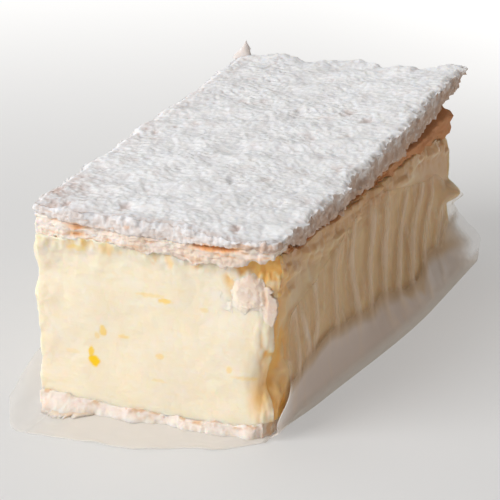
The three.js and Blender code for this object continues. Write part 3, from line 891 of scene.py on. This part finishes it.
def make_paper():
    floor_u = np.linspace(0, FOLD_FRACTION, 50)[:-1]
    flap_u = np.linspace(FOLD_FRACTION, 1, 70)
    u = np.concatenate([floor_u, flap_u])[:, None]
    v = np.linspace(0, 1, 405)[None, :]
    y = lerp(paper_front(u) + 0.1, paper_end(u) - 0.1, v)
    x, z = paper_cut(u, y)
    points = stack(x, y, z)
    normal = grid_normals(points, closed=False)
    on_flap = u > FOLD_FRACTION
    points[..., 0] += 1.6 * hill(z - 11.5, 8) * at_front(y, 1, 9) * on_flap
    pressed, crest = pleats(y, z)
    edge_height = np.interp(y, *zip(*WET_EDGE)) + 0.6 * paper_noise.smooth(points, 5) + 0.4 * crest
    wet = rise(z - edge_height, -1.1, 1.1)
    soaked = hill(z - edge_height - 1.2, 1.8) * wet
    past_back = y - BACK - 6 * rise(z, 10, 13)
    wet = wet * fall(past_back, -6, -1) * rise(y, FRONT - 2, FRONT + 3)
    on_side = rise(z, 1.2, 4) * on_flap
    loose = np.clip(rise(y, BACK - 10, BACK) + at_front(y, -4, 3), 0, 1)
    depth = on_side * (0.6 * pressed - 0.35) * (1 - loose)
    depth += on_side * loose * 0.8 * paper_noise(points, (5, 5, 8))
    depth += on_side * 0.06 * paper_noise(points, (2.2, 2.2, 9))
    lifted = 0.5 * np.abs(paper_noise(points, (12, 9, 9)))
    from_edge = np.minimum(np.abs(y - paper_front(u)), 14)
    points -= normal * depth[..., None]
    points[..., 2] += (1 - on_side) * fall(from_edge, 2, 12) * lifted
    streaks = rise(paper_noise(points + 50, (2.6, 2.6, 9)), -0.1, 0.9)
    film = np.clip(crest + 0.45 * streaks, 0, 1)
    gap = x - custard_side(np.clip(y, FRONT, BACK), z)
    touching = fall(gap - TOUCH_GAP - PAPER_THICKNESS, 0.1, 1)
    touching *= 1 - 0.6 * hill(z - edge_height - 0.6, 2.4)
    at_left = rise(-x, 14, 26) * (1 - on_side)
    thin = (1 - on_side) * 0.5 + 0.3 * at_left + 0.9 * on_side * loose * (1 - wet)
    rim_line = fall(from_edge, 0, 0.7)
    clear = wet * touching * (0.94 - 0.45 * film) * (1 - 0.7 * rim_line) + thin
    # Painted light where the flap stands in shade: loose at the front and the back, at the fold
    # near the front, and towards the back of the right side; a crease is paler too
    near_fold = 0.95 * at_front(y, 2, 11) * fall(z, 12, 18)
    crease = 0.7 * hill(y + 39.1 + 0.9 * (z - 17.2), 1.8) * hill(z - 17, 5)
    pale = np.maximum(np.maximum(loose, near_fold), crease) * on_side
    pale = np.maximum(pale, 0.5 * rise(y, 5, 40) * (1 - wet) * on_side)
    values = dict(
        wet=wet, film=film * on_side * (1 - loose), clear=np.clip(clear, 0, 1), on_side=on_side,
        edge=np.maximum(rim_line, pale), soaked=soaked * on_side,
    )
    half = normal * PAPER_SHEET / 2
    build = Build()
    build.add_slab(points + half, points - half, values, values)
    return build.finish("paper_sheet")


# Flake on the custard

# Its middle, and points round its outline: across, up
FLAKE_MIDDLE = (21.2, 30.2)
FLAKE_OUTLINE = [
    (20.3, 36), (18.4, 34.2), (15.8, 32.4), (13.8, 29.9), (14.2, 27), (17.2, 26), (20.4, 26.8),
    (22.1, 26.9), (24, 25.9), (25.3, 24.9), (26, 26.6), (25.9, 30.4), (25.3, 32), (24.5, 31.4),
    (23.7, 33), (22.9, 34.6), (21.7, 34.9),
]


def flake_reach(angle):
    """How far the flake reaches from its middle in a direction."""
    across, up = (np.array(FLAKE_OUTLINE) - FLAKE_MIDDLE).T
    angles = np.arctan2(up, across)
    order = np.argsort(angles)
    return np.interp(angle, angles[order], np.hypot(across, up)[order], period=2 * math.pi)


def make_corner_flake():
    steps = np.linspace(-1, 1, 110)
    steps = np.sign(steps) * (1 - (1 - np.abs(steps)) ** 1.5)
    side, height = steps[:, None], steps[None, :]
    out = np.maximum(np.abs(side), np.abs(height))
    angle = np.arctan2(height, side)
    rim_place = stack(5 * np.cos(angle), 7, 5 * np.sin(angle))
    ragged = 1 + 0.1 * out ** 5 * pastry_noise(rim_place, 1.8, 3, 0.6)
    x = FLAKE_MIDDLE[0] + flake_reach(angle) * ragged * out * np.cos(angle)
    z = FLAKE_MIDDLE[1] + flake_reach(angle) * ragged * out * np.sin(angle)
    blended = fall(x + 0.4 * (z - 30) + 0.6 * pastry_noise.smooth(stack(x, 7, z), 1.6), 15.5, 20.5)
    sunk = np.maximum(fall(x + 0.6 * (z - 30), 15, 21), fall(z - 0.8 * (x - 20), 25, 29))
    body = rise((1 - out) / lerp(0.3, 0.9, sunk), 0, 1)
    # The face of the custard under the flake, clear of its ragged rim and torn corner
    near_x = np.minimum(x, 23)
    under = stack(near_x, FRONT, z)
    towards = np.broadcast_to([0, -1, 0], under.shape)
    custard_now = custard_front(near_x, z) - custard_relief(under, towards, z / 42)[0]
    right_fold = hill(x - 25.2, 1.6) * hill(z - 29, 4)
    slit = hill(x - 24 - 0.15 * (30 - z), 0.8) * hill(z - 30.5, 3.2)
    lumps = pastry_noise(stack(x, 0, z), 2.4, 4, 0.6)
    crumbs = rise(pastry_noise.smooth(stack(x, 9, z), 0.9), 0.1, 0.8)
    low_right = rise(x + 31 - z, 18, 26)
    relief = 0.1 * lumps + 0.09 * crumbs + 0.08 * low_right * crumbs
    relief = relief + 0.25 * right_fold - 0.35 * slit
    lobe = rise(x, 23, 24.5)
    frayed = pastry_noise(stack(x, 5, z), 1.7, 4, 0.6)
    rim = lerp(0.25 * frayed - 0.12, 0.3, lobe)
    thickness = lerp(rim, 0.4 - 0.15 * sunk + relief, body)
    front = custard_now - thickness + 0.25 * np.maximum(x - 24.5, 0)
    patch = rise(pastry_noise.smooth(stack(x, 3, z), 3), 0, 0.6)
    white = np.maximum(0.1 + 0.3 * rise(lumps, 0, 0.7), 0.6 * low_right * crumbs)
    # The flake's brown patches are its own; the brown in the slit is painted shade
    brown = np.maximum(0.1 * patch * (1 - white), 0.4 * slit)
    blended = np.maximum(blended, rise(out, 0.75, 1) * fall(x, 20, 23))
    back = np.minimum(custard_front(x, z) + 0.8, front + 1)
    values = dict(brown=brown, white=white * (1 - slit), blended=blended)
    build = Build()
    build.add_slab(stack(x, front, z), stack(x, back, z), values, dict(brown=0.2))
    return build.finish("stuck_flake")


# Materials

def rgba(colour):
    """A colour with its alpha. A socket stays as it is."""
    return colour if isinstance(colour, bpy.types.NodeSocket) else (*colour, 1)


class Look:
    """A material and the shader nodes that it is made of."""

    def __init__(self, name):
        self.material = bpy.data.materials.new(name)
        self.material.use_nodes = True
        self.tree = self.material.node_tree
        self.tree.nodes.clear()

    def node(self, kind, sockets, **settings):
        """The outputs of a new node, whose sockets are set to values or linked."""
        made = self.tree.nodes.new("ShaderNode" + kind)
        for key, value in settings.items():
            setattr(made, key, value)
        for key, value in sockets.items():
            if isinstance(value, bpy.types.NodeSocket):
                self.tree.links.new(value, made.inputs[key])
            else:
                made.inputs[key].default_value = value
        return made.outputs

    def attribute(self, name):
        return self.node("Attribute", {}, attribute_name=name)["Fac"]

    def noise(self, size_mm, detail=3, roughness=0.55, stretch=(1, 1, 1)):
        place = self.node("TexCoord", {})["Object"]
        scale = tuple(1 / (s * MM) for s in stretch)
        place = self.node("Mapping", {"Vector": place, "Scale": scale})["Vector"]
        sockets = {"Vector": place, "Scale": 1 / size_mm, "Detail": detail, "Roughness": roughness}
        return self.node("TexNoise", sockets)["Fac"]

    def ramp(self, value, low, high):
        """0 to 1, smoothly, as a value goes from low to high."""
        sockets = {"Value": value, "From Min": low, "From Max": high}
        return self.node("MapRange", sockets, interpolation_type="SMOOTHSTEP")["Result"]

    def between(self, share, low, high):
        return self.node("MapRange", {"Value": share, "To Min": low, "To Max": high})["Result"]

    def times(self, a, b):
        return self.node("Math", {0: a, 1: b}, operation="MULTIPLY")[0]

    def tinted(self, colour, *tints):
        """A colour mixed with others in turn. A tint is a value or its name, a share, a colour."""
        for value, share, tint in tints:
            value = self.attribute(value) if isinstance(value, str) else value
            sockets = {0: self.times(value, share), 6: rgba(colour), 7: rgba(tint)}
            colour = self.node("Mix", sockets, data_type="RGBA")[2]
        return colour

    def bump(self, height, strength, distance_mm):
        sockets = {"Height": height, "Strength": strength, "Distance": distance_mm * MM}
        return self.node("Bump", sockets)["Normal"]

    def surface(self, colour, roughness, **sockets):
        """A principled shader. The names of its sockets have underscores for spaces."""
        named = {key.replace("_", " "): value for key, value in sockets.items()}
        named.update({"Base Color": rgba(colour), "Roughness": roughness, "IOR": 1.45})
        return self.node("BsdfPrincipled", named)[0]

    def finish(self, shader):
        self.node("OutputMaterial", {"Surface": shader})
        return self.material


CREAM = (0.92, 0.80, 0.61)
CREAM_PALE = (0.925, 0.835, 0.69)
CREAM_DEEP = (0.92, 0.76, 0.49)
CREAM_SHADED = (0.79, 0.59, 0.345)
YOLK_YELLOW = (0.98, 0.61, 0.003)
# Gold painted as glow in the custard's shaded hollows
PAINTED_GLOW_GOLD = (0.96, 0.54, 0.15)
# Brown for the custard's painted shade and for the base's flecks
FLECK_AND_SHADE_BROWN = (0.66, 0.40, 0.20)


def custard_material():
    look = Look("custard")
    broad = look.ramp(look.noise(4, stretch=(1.5, 1.5, 0.8)), 0.35, 0.7)
    streak = look.ramp(look.noise(2.2, stretch=(1.8, 1.8, 0.7)), 0.5, 0.75)
    colour = look.tinted(
        CREAM, (broad, 0.6, CREAM_PALE), (streak, 0.35, CREAM_DEEP), ("pale", 0.6, FLECK_WHITE),
        ("shaded", 1, CREAM_SHADED), ("painted_glow", 1, PAINTED_GLOW_GOLD), ("browned", 0.8, FLECK_AND_SHADE_BROWN),
        ("yolk", 1, YOLK_YELLOW),
    )
    grain = look.noise(0.8, 4, 0.6, stretch=(1.3, 1.3, 0.9))
    return look.finish(look.surface(
        colour, 0.42, Normal=look.bump(grain, 0.3, 0.12),
        Subsurface_Weight=look.between(look.attribute("yolk"), 0.6, 0.1),
        Subsurface_Scale=0.003, Subsurface_Radius=(0.8, 0.55, 0.3),
    ))


FLECK_WHITE = (0.89, 0.83, 0.78)
PASTRY_CREAM = (0.81, 0.66, 0.54)
PASTRY_GOLD = (0.80, 0.58, 0.42)
# Orange-brown painted as shade and glow in the pastry's cracks and gaps, and the flake's own
# browning
PASTRY_CRACK_GLOW_AND_BROWN = (0.84, 0.42, 0.15)
PASTRY_PINK = (0.79, 0.62, 0.52)
CARAMEL = (0.57, 0.26, 0.115)


def pastry_material(name, *tints):
    look = Look(name)
    patch = look.ramp(look.noise(3), 0.4, 0.68)
    tiny = look.ramp(look.noise(0.8, 4), 0.5, 0.7)
    colour = look.tinted(PASTRY_CREAM, (patch, 0.6, PASTRY_PINK), (tiny, 0.25, PASTRY_GOLD), *tints)
    grain = look.noise(0.45, 4, 0.65)
    return look.finish(look.surface(
        colour, 0.8, Normal=look.bump(grain, 0.6, 0.2),
        Subsurface_Weight=0.4, Subsurface_Scale=0.0009, Subsurface_Radius=(1, 0.6, 0.35),
    ))


SUGAR_WHITE = (0.935, 0.93, 0.935)
SUGAR_SHADE = (0.74, 0.725, 0.735)
SUGAR_BARE = (0.62, 0.45, 0.38)
SUGARED_SIDE = (0.56, 0.405, 0.315)
# Orange-brown painted as shade and glow in the sugared leaf's cracks and gaps
SUGAR_CRACK_GLOW = (0.84, 0.41, 0.14)


def sugar_material():
    look = Look("icing_sugar")
    patch = look.ramp(look.noise(1.3, 4), 0.15, 0.5)
    colour = look.tinted(
        SUGAR_WHITE, ("shade", 1, SUGAR_SHADE), ("bare", 1, SUGAR_BARE),
        ("side", patch, SUGARED_SIDE), ("brown", 0.85, SUGAR_CRACK_GLOW),
    )
    grain = look.noise(0.6, 5, 0.7)
    return look.finish(look.surface(
        colour, 0.9, Normal=look.bump(grain, 0.45, 0.15),
        Subsurface_Weight=0.5, Subsurface_Scale=0.0013, Subsurface_Radius=(1, 0.9, 0.8),
    ))


PAPER_FLAT = (0.93, 0.885, 0.83)
# The paper on the right side is painted in the warmer tone of its shade
PAPER_SIDE_SHADE = (0.89, 0.78, 0.70)
PAPER_SOAKED = (0.78, 0.58, 0.36)
PAPER_WET = (0.86, 0.70, 0.50)
PAPER_FILM = (0.95, 0.81, 0.66)
# Pale paper for the sheet's rim line and a crease, and painted light on the flap where it is in
# shade
PAPER_RIM_AND_PAINTED_LIGHT = (0.95, 0.93, 0.90)
WET_TINT = (0.995, 0.985, 0.97)


def paper_material():
    look = Look("greaseproof_paper")
    colour = look.tinted(
        PAPER_FLAT, ("on_side", 1, PAPER_SIDE_SHADE), ("wet", 1, PAPER_WET), ("film", 1, PAPER_FILM),
        ("soaked", 0.45, PAPER_SOAKED), ("edge", 1, PAPER_RIM_AND_PAINTED_LIGHT),
    )
    fibre = look.noise(0.8, 3, 0.5, stretch=(1, 1, 3))
    sheet = look.surface(colour, 0.45, Normal=look.bump(fibre, 0.2, 0.05))
    glow = look.node("BsdfTranslucent", {"Color": colour})[0]
    body = look.node("MixShader", {0: 0.25, 1: sheet, 2: glow})[0]
    tint = look.tinted((1, 1, 1), ("wet", 1, WET_TINT))
    clear = look.node("BsdfTransparent", {"Color": tint})[0]
    return look.finish(look.node("MixShader", {0: look.attribute("clear"), 1: body, 2: clear})[0])


def dress(piece, material, slot, *nodes):
    piece.data.materials.append(material)
    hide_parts(*nodes)


# Stage, lights and camera

CAMERA_YAW = 21.73
FLOOR_REACH = 3.0
FLOOR_COLOUR = (0.40, 0.395, 0.39)
FLOOR_LIGHT = (1.0, 0.995, 0.985, 1.0)
FLOOR_GLOW_NEAR = 0.35
FLOOR_GLOW_FAR = 0.95
FLOOR_GLOW_RIGHT = 0.14


def make_stage():
    """A pale floor that glows a little more away from the camera and to the right."""
    mesh = bpy.data.meshes.new("floor")
    far = FLOOR_REACH
    corners = [(-far, -far, 0), (far, -far, 0), (far, far, 0), (-far, far, 0)]
    mesh.from_pydata(corners, [], [(0, 1, 2, 3)])
    floor = add_object("floor", mesh)
    look = Look("pale_floor")
    place = look.node("TexCoord", {})["Object"]
    turn = (0, 0, -math.radians(CAMERA_YAW))
    seen = look.node("Mapping", {"Vector": place, "Rotation": turn})["Vector"]
    seen = look.node("SeparateXYZ", {"Vector": seen})
    across, away = seen["X"], seen["Y"]
    glow = look.between(look.ramp(away, 0.04, 0.44), FLOOR_GLOW_NEAR, FLOOR_GLOW_FAR)
    far_right = look.times(look.ramp(away, 0.09, 0.2), look.ramp(across, 0, 0.1))
    more = look.times(far_right, FLOOR_GLOW_RIGHT)
    glow = look.node("Math", {0: glow, 1: more}, operation="ADD")[0]
    shader = look.surface(FLOOR_COLOUR, 0.7, Emission_Color=FLOOR_LIGHT, Emission_Strength=glow)
    mesh.materials.append(look.finish(shader))


LIGHT_TARGET = (0, 0, 0.02)
SKY_STRENGTH = 0.14


def area_light(name, place, size, power, colour=(1, 1, 1)):
    lamp = bpy.data.lights.new(name, "AREA")
    lamp.shape = "SQUARE"
    lamp.size = size
    lamp.energy = power
    lamp.color = colour
    thing = add_object(name, lamp)
    thing.location = place
    towards = Vector(LIGHT_TARGET) - thing.location
    thing.rotation_euler = towards.to_track_quat("-Z", "Y").to_euler()


def make_lights():
    area_light("key", (-0.70, -0.88, 0.76), 1, 18)
    area_light("overhead", (-0.25, 0.2, 1.1), 0.8, 2.5)
    area_light("warm_fill", (0.8, 0.15, 0.16), 0.5, 0.8, (1, 0.78, 0.58))
    world = bpy.data.worlds.new("studio")
    world.use_nodes = True
    sky = world.node_tree.nodes["Background"].inputs
    sky["Color"].default_value = (1, 1, 1, 1)
    sky["Strength"].default_value = SKY_STRENGTH
    bpy.context.scene.world = world


CAMERA_PLACE = (0.21189, -0.53532, 0.23284)
CAMERA_PITCH = 20.425
CAMERA_LENS = 201.6


def make_camera():
    camera = bpy.data.cameras.new("camera")
    camera.lens = CAMERA_LENS
    camera.sensor_width = 36
    thing = add_object("camera", camera)
    thing.location = CAMERA_PLACE
    thing.rotation_euler = (math.radians(90 - CAMERA_PITCH), 0, math.radians(CAMERA_YAW))
    bpy.context.scene.camera = thing


make_camera()
make_stage()
make_lights()
bpy.context.scene.view_settings.view_transform = "Standard"

# Tints of baked pastry by named values
browned = ("brown", 0.85, PASTRY_CRACK_GLOW_AND_BROWN)
dusted = ("white", 0.75, FLECK_WHITE)
caramelised = ("caramel", 1, CARAMEL)
base_look = pastry_material("base_pastry", browned, dusted, ("fleck", 1, FLECK_AND_SHADE_BROWN))
leaf_look = pastry_material("leaf_pastry", browned, caramelised, dusted)
flake_look = pastry_material("flake_pastry", browned, dusted, ("blended", 1, CREAM_PALE))

dress(make_custard(), custard_material(), "set_custard", "custard")
dress(make_base(), base_look, "baked_pastry", "base_pastry")
dress(make_lower_leaf(), leaf_look, "baked_pastry", "top_pastry")
dress(make_sugared_leaf(), sugar_material(), "sugared_pastry", "top_pastry")
dress(make_paper(), paper_material(), "greaseproof_paper", "paper")
dress(make_corner_flake(), flake_look, "baked_pastry", "corner_flake")
